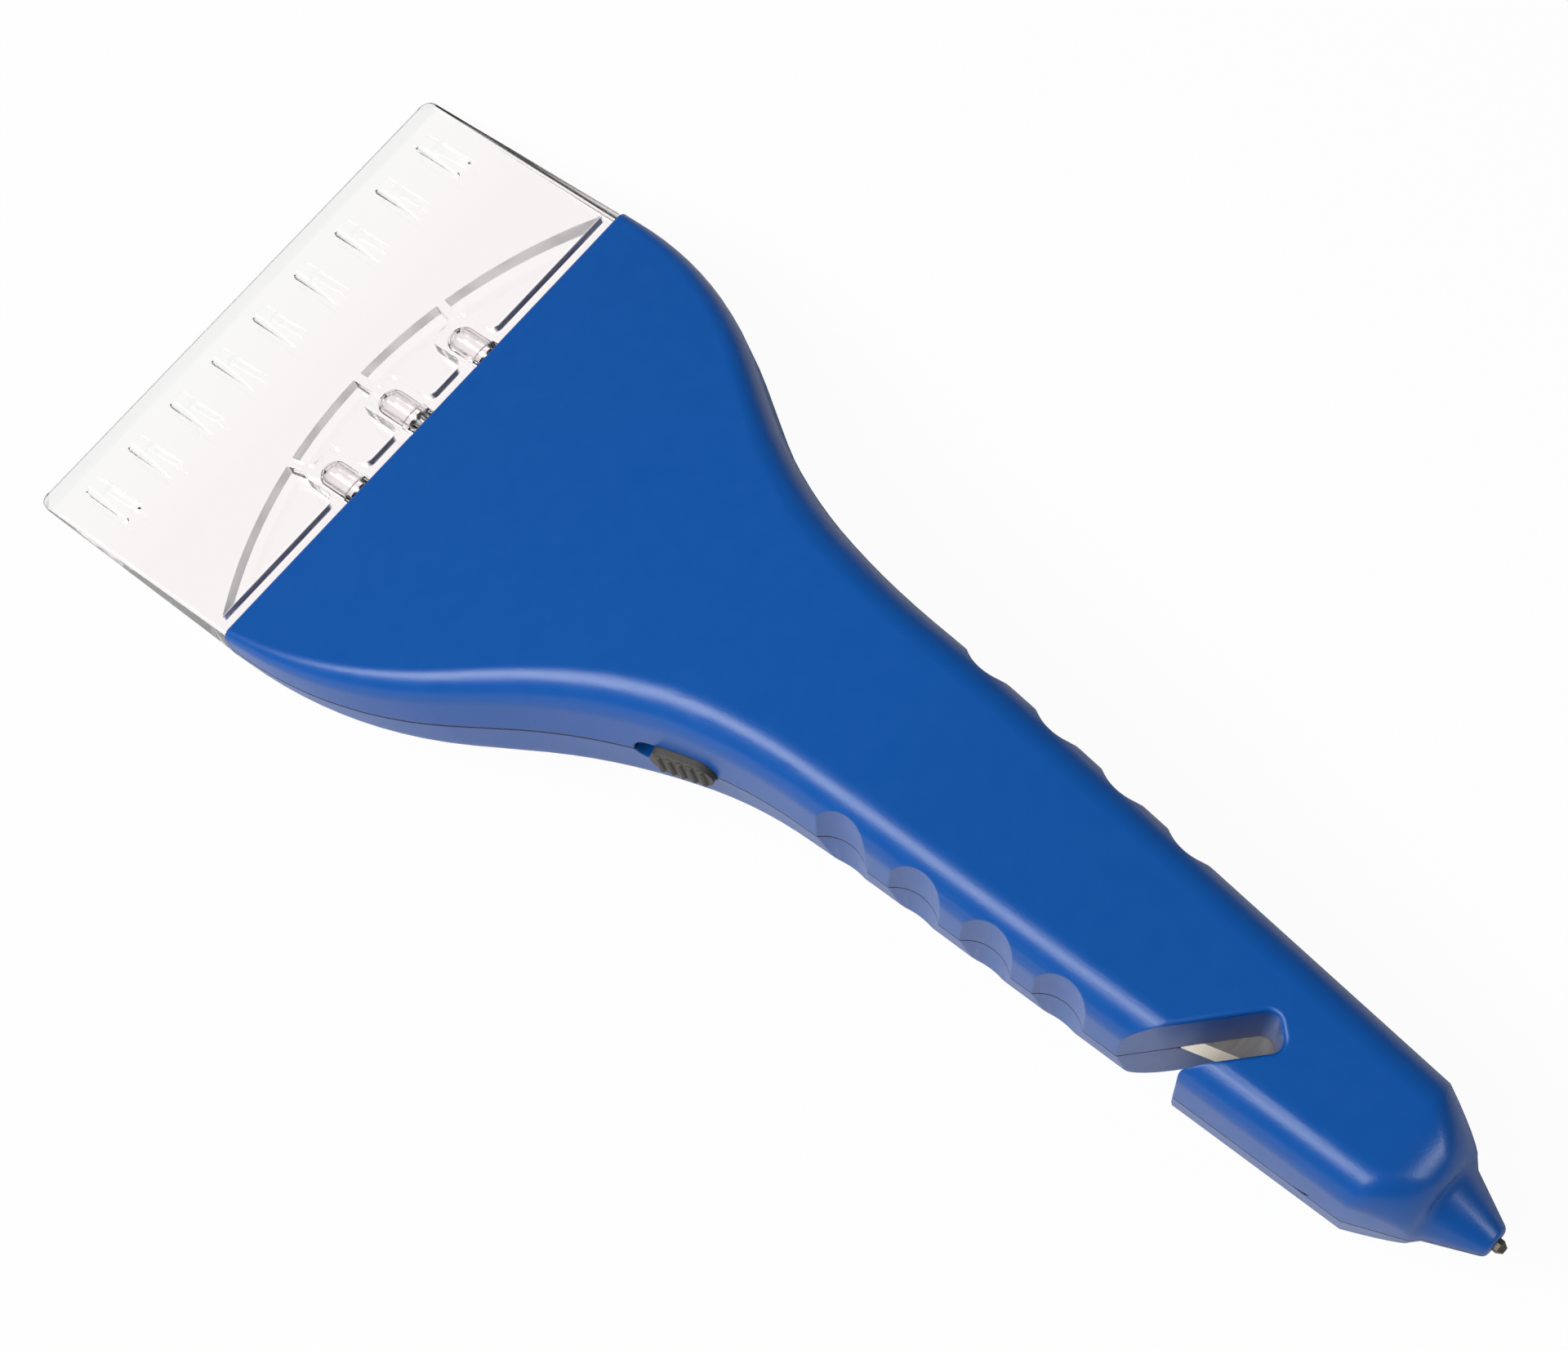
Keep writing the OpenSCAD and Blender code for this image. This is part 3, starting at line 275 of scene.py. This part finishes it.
steel_tree.links.new(steel_place.outputs["Object"], steel_turn.inputs["Vector"])
steel_tree.links.new(steel_turn.outputs["Vector"], steel_noise.inputs["Vector"])
steel_lines = steel_noise.outputs["Fac"]
two_tone(steel_tree, steel_lines, steel_dark, steel_pale, steel_shader.inputs["Base Color"])
spread(steel_tree, steel_lines, *steel_rough, steel_shader.inputs["Roughness"])
raise_grain(steel_tree, steel_lines, grind_depth, steel_shader)
dress(nodes["cutter_blade"], steel)

# Glass-breaker pin: a hexagonal bar of dark hardened steel with a flange.
# The flange is locked between the two halves of the nose.
pin_dark = (0.10, 0.09, 0.08, 1)
pin_pale = (0.2, 0.18, 0.15, 1)
pin_rough = (0.35, 0.55)
pin_depth = 0.00002
pin_edge = 0.0002
pin_steel, pin_tree, pin_shader = start_material("dark_steel")
pin_shader.inputs["Metallic"].default_value = 0.9
pin_grain = add_grain(pin_tree, grain_scale=1800).outputs["Grain"]
two_tone(pin_tree, pin_grain, pin_dark, pin_pale, pin_shader.inputs["Base Color"])
spread(pin_tree, pin_grain, *pin_rough, pin_shader.inputs["Roughness"])
raise_grain(pin_tree, pin_grain, pin_depth, pin_shader, pin_edge)
dress(nodes["breaker_pin"], pin_steel)

# Scraping head: one clear moulding with a ground edge, ice-breaker ribs and three lamp housings.
# Two ears behind the seam are screwed between the halves.
# The ribs are rebuilt over the outlines that they leave on the plate, with rounded shoulders.
head_up = Vector((-0.1909, 0, 0.9816))
head_along = Vector((0.9816, 0, 0.1909))
plate_normal = (-0.246, 0, 0.9693)
plate_level = 0.0342
plate_facing = 0.9
plate_slack = 0.000004
rib_band = (-0.129, -0.111)
rib_peak = 0.002
rib_shoulder = 0.0009
rib_side = 0.85
rib_crown = 0.06
crown_start = 0.6
ridge_inset = (0.001, 0.0018)
shoulder_turns = (0, 22.5, 45, 67.5, 90)
long_rim = 0.0019
rim_cuts = 7
side_span = (-0.1305, -0.0855)
side_reach = 0.035
side_turn = math.radians(50)
side_lie = 0.8
side_round = 0.0006
side_segments = 4
crease_line = -0.1297
crease_reach = 0.0004
crease_least = 0.001
arc_span = (-0.113, -0.0885)
arc_lean = 0.3
arc_facing = 0.25
head_index = 1.49
head_grain = 320
head_cloud = 60
head_depth = 0.00003
head_edge = 0.0003
rib_painted_light = (0.997, 0.994, 0.99, 1)
rib_fade = (0.0001, 0.0005)
tint_span = (-0.133, -0.083)
tint_stops = (
    (0.0, (0.945, 0.945, 0.94, 1)),
    (0.064, (0.945, 0.945, 0.94, 1)),
    (0.072, (0.99, 0.985, 0.978, 1)),
    (0.28, (0.99, 0.97, 0.966, 1)),
    (0.5, (0.985, 0.94, 0.94, 1)),
    (1.0, (0.985, 0.94, 0.94, 1)),
)


def open_loops(shape):
    """The closed rows of vertices round the holes of a mesh."""
    rims = [edge for edge in shape.edges if len(edge.link_faces) == 1]
    loops = []
    while rims:
        loop = list(rims.pop(0).verts)
        while loop[0] is not loop[-1]:
            edge = next(e for e in loop[-1].link_edges if e in rims)
            rims.remove(edge)
            loop.append(edge.other_vert(loop[-1]))
        loops.append(loop[:-1])
    return loops


def build_rib(shape, loop):
    """Raise one rib on its outline: steep sides, rounded shoulders and a slope down to the rear."""
    along = [v.co.dot(head_along) for v in loop]
    front, rear = min(along), max(along)
    across = [v.co.y for v in loop]
    middle = (min(across) + max(across)) / 2
    half = max(across) - middle
    turns = [math.radians(turn) for turn in shoulder_turns]
    lanes = [(rib_shoulder * (1 - math.cos(turn)), math.sin(turn)) for turn in turns]
    lanes += [(half * crown_start, 1 + rib_crown / 2), (half, 1 + rib_crown)]
    rings = [loop]
    for inward, lift in lanes:
        share = inward / half
        ring = []
        for v, place in zip(loop, along):
            ridge = min(max(place, front + ridge_inset[0]), rear - ridge_inset[1])
            here = place + (ridge - place) * share
            height = rib_peak * max(0, rear - here) / (rear - front) / (1 + rib_crown)
            step = height * rib_side
            raised = height - step + step * min(lift, 1) + height * max(0, lift - 1)
            spot = v.co + head_along * (here - place) + head_up * raised
            spot.y = v.co.y + (middle - v.co.y) * share
            ring.append(shape.verts.new(spot))
        rings.append(ring)
    for low, high in zip(rings, rings[1:]):
        for i in range(len(loop)):
            j = (i + 1) % len(loop)
            face = shape.faces.new((low[i], low[j], high[j], high[i]))
            face.smooth = True
    return [v for ring in rings[1:] for v in ring]


def on_side(edge):
    """Whether an edge is one of the long outer edges at the sides of the head."""
    first, second = (v.co for v in edge.verts)
    return (
        len(edge.link_faces) == 2
        and edge.calc_face_angle(0) > side_turn
        and all(side_span[0] < co.x < side_span[1] and abs(co.y) > side_reach for co in (first, second))
        and abs((first - second).normalized().x) > side_lie
    )


def round_head(shape):
    """Rebuild the ribs, round the long side edges and keep the crease of the ground edge sharp."""
    plate = max((f for f in shape.faces if f.normal.z > plate_facing), key=lambda f: f.calc_area())
    level, normal = plate.verts[0].co.copy(), plate.normal.copy()
    old = [
        f for f in shape.faces
        if rib_band[0] < f.calc_center_median().x < rib_band[1]
        and max((v.co - level).dot(normal) for v in f.verts) > plate_slack
    ]
    bmesh.ops.delete(shape, geom=old, context="FACES")
    long_rims = [e for e in shape.edges if len(e.link_faces) == 1 and e.calc_length() > long_rim]
    bmesh.ops.subdivide_edges(shape, edges=long_rims, cuts=rim_cuts)
    fresh = []
    for loop in open_loops(shape):
        fresh += build_rib(shape, loop)
    bmesh.ops.remove_doubles(shape, verts=fresh, dist=weld)
    bmesh.ops.recalc_face_normals(shape, faces=shape.faces)
    mark_sharp(shape)
    bmesh.ops.bevel(
        shape, geom=[e for e in shape.edges if on_side(e)], offset=side_round,
        segments=side_segments, profile=0.5, affect="EDGES", material=-1,
    )
    for edge in shape.edges:
        on_crease = all(abs(v.co.x - crease_line) < crease_reach for v in edge.verts)
        if on_crease and edge.calc_length() > crease_least:
            edge.smooth = False


def clear_moulding(name, clarity, low, high):
    """Clear plastic between two roughnesses, with a faint tint along the head and painted light that makes
    the ribs whiter.
    """
    material, tree, shader = start_material(name)
    shader.inputs["Transmission Weight"].default_value = clarity
    shader.inputs["IOR"].default_value = head_index
    tint = tree.nodes.new("ShaderNodeValToRGB")
    row = tint.color_ramp.elements
    for i, (stop, colour) in enumerate(tint_stops):
        mark = row[0] if i == 0 else row[-1] if i == len(tint_stops) - 1 else row.new(stop)
        mark.position = stop
        mark.color = colour
    tree.links.new(ramp(tree, run_along(tree, (1, 0, 0)), *tint_span), tint.inputs["Fac"])
    tree.links.new(tint.outputs["Color"], shader.inputs["Base Color"])
    # Painted light: the ribs turn near white where they rise over the plate, in place of the brighter floor
    # seen through them.
    rib_low, rib_high = (plate_level + fade for fade in rib_fade)
    overlay(tree, ramp(tree, run_along(tree, plate_normal), rib_low, rib_high), rib_painted_light)
    cloud = add_grain(tree, head_grain, head_cloud).outputs["Cloud"]
    spread(tree, cloud, low, high, shader.inputs["Roughness"])
    raise_grain(tree, cloud, head_depth, shader, head_edge)
    return material


clear_plastic = clear_moulding("clear_plastic", clarity=1.0, low=0.01, high=0.05)
frosted_plastic = clear_moulding("frosted_plastic", clarity=0.35, low=0.25, high=0.4)
clear_head = merged_copy("clear_head", "scraper_head", round_head)
dress(clear_head, clear_plastic)
clear_head.data.materials.append(frosted_plastic)
for face in clear_head.data.polygons:
    across_wall = abs(face.normal.dot(head_up)) < arc_lean and face.normal.x > arc_facing
    if across_wall and arc_span[0] < face.center.x < arc_span[1]:
        face.material_index = 1
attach(clear_head, "housing")
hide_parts("scraper_head")

# Lamps: three clear cast-resin lamps in the bores of the head, their leads soldered to a board.
# The board stands in two slotted rests of the lower half and carries the resistor.
resin_clear = (0.97, 0.98, 0.99, 1)
resin_index = 1.5
resin_rough = (0.01, 0.04)
lamp_resin, lamp_tree, lamp_shader = start_material("lamp_resin")
lamp_shader.inputs["Base Color"].default_value = resin_clear
lamp_shader.inputs["Transmission Weight"].default_value = 1.0
lamp_shader.inputs["IOR"].default_value = resin_index
spread(lamp_tree, add_grain(lamp_tree).outputs["Cloud"], *resin_rough, lamp_shader.inputs["Roughness"])
for name in ("led_near", "led_middle", "led_far"):
    dress(nodes[name], lamp_resin)

board_dark = (0.01, 0.06, 0.02, 1)
board_pale = (0.02, 0.1, 0.035, 1)
board_green = plastic("board_laminate", board_dark, board_pale, rough=0.4, grain_scale=1500, depth=0.00001)
dress(nodes["led_board"], board_green)

tan_dark = (0.42, 0.28, 0.15, 1)
tan_pale = (0.52, 0.36, 0.2, 1)
resistor_tan = plastic("resistor_body", tan_dark, tan_pale, rough=0.45, grain_scale=1500, depth=0.00002)
dress(nodes["led_resistor"], resistor_tan)

nickel_dark = (0.5, 0.49, 0.46, 1)
nickel_pale = (0.68, 0.67, 0.64, 1)
nickel_rough = (0.22, 0.4)
nickel_depth = 0.00001
nickel, nickel_tree, nickel_shader = start_material("nickel")
nickel_shader.inputs["Metallic"].default_value = 1.0
nickel_grain = add_grain(nickel_tree, grain_scale=1200)
nickel_base = nickel_shader.inputs["Base Color"]
two_tone(nickel_tree, nickel_grain.outputs["Cloud"], nickel_dark, nickel_pale, nickel_base)
spread(nickel_tree, nickel_grain.outputs["Grain"], *nickel_rough, nickel_shader.inputs["Roughness"])
raise_grain(nickel_tree, nickel_grain.outputs["Grain"], nickel_depth, nickel_shader)
dress(nodes["led_leads"], nickel)

# Light switch: a ribbed slider in a slot of the near wall, forked over the lever of a small slide switch.
# The switch body is gripped between blocks of the two halves, and its pins take the wires.
slider_brown = (0.05, 0.046, 0.038, 1)
slider_brown_pale = (0.085, 0.078, 0.064, 1)
slider_dark = plastic(
    "slider_plastic", slider_brown, slider_brown_pale,
    rough=0.5, grain_scale=1800, depth=0.00003, edge=0.0003,
)
dress(nodes["switch_slider"], slider_dark)
dress(nodes["switch_lever"], slider_dark)

case_grey = (0.5, 0.5, 0.48, 1)
case_grey_pale = (0.58, 0.58, 0.56, 1)
switch_case = plastic("switch_case", case_grey, case_grey_pale, rough=0.45, grain_scale=1500, depth=0.00001)
dress(nodes["switch_body"], switch_case)
dress(nodes["switch_pins"], nickel)

# Cells: two plain sleeved cells side by side, with a nickel button and spring contacts at their ends.
# The contacts slide into the bay walls, and the springs are coiled wire.
sleeve_dark = (0.05, 0.05, 0.055, 1)
sleeve_pale = (0.08, 0.08, 0.085, 1)
bare_nickel = (0.6, 0.59, 0.56, 1)
bare_end = 0.0016
cell_axis = Vector((0.9915, 0, -0.1304))
cell_spots = [v.co.dot(cell_axis) for v in nodes["battery_near"].data.vertices]
cell_middle = (min(cell_spots) + max(cell_spots)) / 2
sleeve_half = (max(cell_spots) - min(cell_spots)) / 2 - bare_end
cell_case = plastic("cell_sleeve", sleeve_dark, sleeve_pale, rough=0.3, grain_scale=800, depth=0.000005)
cell_tree = cell_case.node_tree
on_sleeve = calc(cell_tree, "COMPARE", run_along(cell_tree, cell_axis), cell_middle, sleeve_half)
cell_bare = calc(cell_tree, "SUBTRACT", 1.0, on_sleeve)
overlay(cell_tree, cell_bare, bare_nickel)
cell_tree.links.new(cell_bare, cell_tree.nodes["Principled BSDF"].inputs["Metallic"])
for name in ("battery_near", "battery_far"):
    dress(nodes[name], cell_case)
for name in ("positive_contact", "negative_contact", "bridge_contact", "negative_spring", "bridge_spring"):
    dress(nodes[name], nickel)

# Wires: soft covered strands from the contacts to the switch and the lamp board, soldered at both ends.
# Each has its own colour of cover.
for name, dark, pale in (
    ("red_wire", (0.35, 0.01, 0.01, 1), (0.45, 0.02, 0.02, 1)),
    ("switch_wire", (0.5, 0.14, 0.01, 1), (0.6, 0.18, 0.02, 1)),
    ("black_wire", (0.012, 0.012, 0.012, 1), (0.02, 0.02, 0.02, 1)),
):
    dress(nodes[name], plastic(name + "_cover", dark, pale, rough=0.4, grain_scale=900, depth=0.00001))

# Upper half of the housing: the same blue moulding, laid over the head, the blade and the pin.
# The five screws from below hold it down.
upper_half = merged_copy("upper_half", "upper_shell")
dress(upper_half, blue_plastic)
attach(upper_half, "housing")
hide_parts("upper_shell")

# Battery door: a lid cut to the curve of the back, with a hook at its head end and a springy latch tongue.
# It is the same blue plastic.
door_lid = merged_copy("door_lid", "battery_door")
dress(door_lid, blue_plastic)
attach(door_lid, "door")
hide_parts("battery_door")

# Screws: five plated steel screws with cross drives, in deep holes of the back.
# They cut their own thread in the towers of the upper half.
dress(nodes["shell_screws"], nickel)

# Studio: a pale paper floor, white to the camera and through the clear head, that keeps the shadow.
# Behind the seam the head sees the paper in the shade of the housing, given a darker, bluer colour there as
# painted shade in place of the light bounced off the blue housing.
# Three soft boxes, on the near side, at the head and behind the tail, draw the bright lines along the edges.
white = (1, 1, 1, 1)
paper_grey = (0.7, 0.7, 0.7, 1)
paper_painted_blue_shade = (0.32, 0.38, 0.62, 1)
shade_start = -0.084
shade_end = -0.080
veil_share = 0.96
floor_size = 3.0
room_level = 0.1
dome_span = (0.05, 0.5)
dome_level = (0.5, 0.95)
box_distance = 1.2


def matte(tree, colour):
    """A plain dull surface of one colour."""
    paper = tree.nodes.new("ShaderNodeBsdfDiffuse")
    paper.inputs["Color"].default_value = colour
    return paper.outputs["BSDF"]


def blend(tree, share, first, second):
    """Two shaders mixed: the first where the share is 0, the second where it is 1."""
    mix = tree.nodes.new("ShaderNodeMixShader")
    if isinstance(share, bpy.types.NodeSocket):
        tree.links.new(share, mix.inputs["Fac"])
    else:
        mix.inputs["Fac"].default_value = share
    tree.links.new(first, mix.inputs[1])
    tree.links.new(second, mix.inputs[2])
    return mix.outputs["Shader"]


floor_shape = bmesh.new()
bmesh.ops.create_grid(floor_shape, x_segments=1, y_segments=1, size=floor_size)
floor_mesh = bpy.data.meshes.new("floor")
floor_shape.to_mesh(floor_mesh)
floor_shape.free()
floor = bpy.data.objects.new("floor", floor_mesh)
bpy.context.scene.collection.objects.link(floor)
floor_paper, floor_tree, floor_shader = start_material("floor_paper")
floor_tree.nodes.remove(floor_shader)
emitter = floor_tree.nodes.new("ShaderNodeEmission")
emitter.inputs["Color"].default_value = white
emitter.inputs["Strength"].default_value = 1.0
glow = emitter.outputs["Emission"]
paper = matte(floor_tree, paper_grey)
veil = blend(floor_tree, veil_share, paper, glow)
in_front = ramp(floor_tree, run_along(floor_tree, (1, 0, 0)), shade_start, shade_end, 1.0, 0.0)
# Painted shade: behind the seam, rays through the head meet a darker, blue paper colour in place of the
# housing's blue bounce light.
through_head = blend(floor_tree, in_front, matte(floor_tree, paper_painted_blue_shade), glow)
rays = floor_tree.nodes.new("ShaderNodeLightPath").outputs
from_head = blend(floor_tree, rays["Is Transmission Ray"], paper, through_head)
from_above = blend(floor_tree, rays["Is Camera Ray"], from_head, veil)
backfacing = floor_tree.nodes.new("ShaderNodeNewGeometry").outputs["Backfacing"]
clear_back = floor_tree.nodes.new("ShaderNodeBsdfTransparent").outputs["BSDF"]
one_sided = blend(floor_tree, backfacing, from_above, clear_back)
floor_tree.links.new(one_sided, floor_tree.nodes["Material Output"].inputs["Surface"])
floor.data.materials.append(floor_paper)

world = bpy.data.worlds.new("studio")
bpy.context.scene.world = world
world.use_nodes = True
sky = world.node_tree
backdrop = sky.nodes["Background"]
backdrop.inputs["Color"].default_value = white
sky_rays = sky.nodes.new("ShaderNodeLightPath").outputs
to_camera = ramp(sky, sky_rays["Is Camera Ray"], 0.0, 1.0, room_level, 1.0)
dome = ramp(sky, run_along(sky, (0, 0, 1), "Generated"), *dome_span, *dome_level)
to_head = calc(sky, "MULTIPLY", dome, sky_rays["Is Transmission Ray"])
sky.links.new(calc(sky, "MAXIMUM", to_camera, to_head), backdrop.inputs["Strength"])


def soft_box(name, direction, width, height, power):
    """A rectangular studio lamp that faces the scraper from a direction, its width along the scraper."""
    lamp = bpy.data.lights.new(name, "AREA")
    lamp.shape = "RECTANGLE"
    lamp.size = width
    lamp.size_y = height
    lamp.energy = power
    box = bpy.data.objects.new(name, lamp)
    towards = Vector(direction).normalized()
    across = (Vector((1, 0, 0)) - towards * towards.x).normalized()
    box.location = towards * box_distance
    box.rotation_mode = "QUATERNION"
    rows = (across, towards.cross(across), towards)
    box.rotation_quaternion = Matrix(rows).transposed().to_quaternion()
    bpy.context.scene.collection.objects.link(box)


soft_box("key_box", direction=(-0.092, -0.55, 0.83), width=1.1, height=0.52, power=12.5)
soft_box("head_box", direction=(-0.632, -0.38, 0.66), width=0.5, height=0.4, power=5)
soft_box("far_box", direction=(0.8, 0.24, 0.55), width=0.32, height=0.25, power=2)

# Camera: at the photograph's angle, high over the near side of the tail, 0.9 m from the scraper's middle.
# Its long lens frames the whole scraper as the photograph does.
camera_place = Matrix(
    (
        (0.7505692, -0.5731008, 0.3289398, 0.282775),
        (0.6533745, 0.7180340, -0.2398520, -0.212520),
        (-0.0987306, 0.3949464, 0.9133836, 0.832443),
        (0, 0, 0, 1),
    )
)
camera_data = bpy.data.cameras.new("camera")
camera_data.sensor_width = 36
camera_data.lens = 131.25
camera_data.clip_end = 20
camera = bpy.data.objects.new("camera", camera_data)
bpy.context.scene.collection.objects.link(camera)
camera.matrix_world = camera_place
bpy.context.scene.camera = camera
bpy.context.scene.view_settings.view_transform = "Standard"
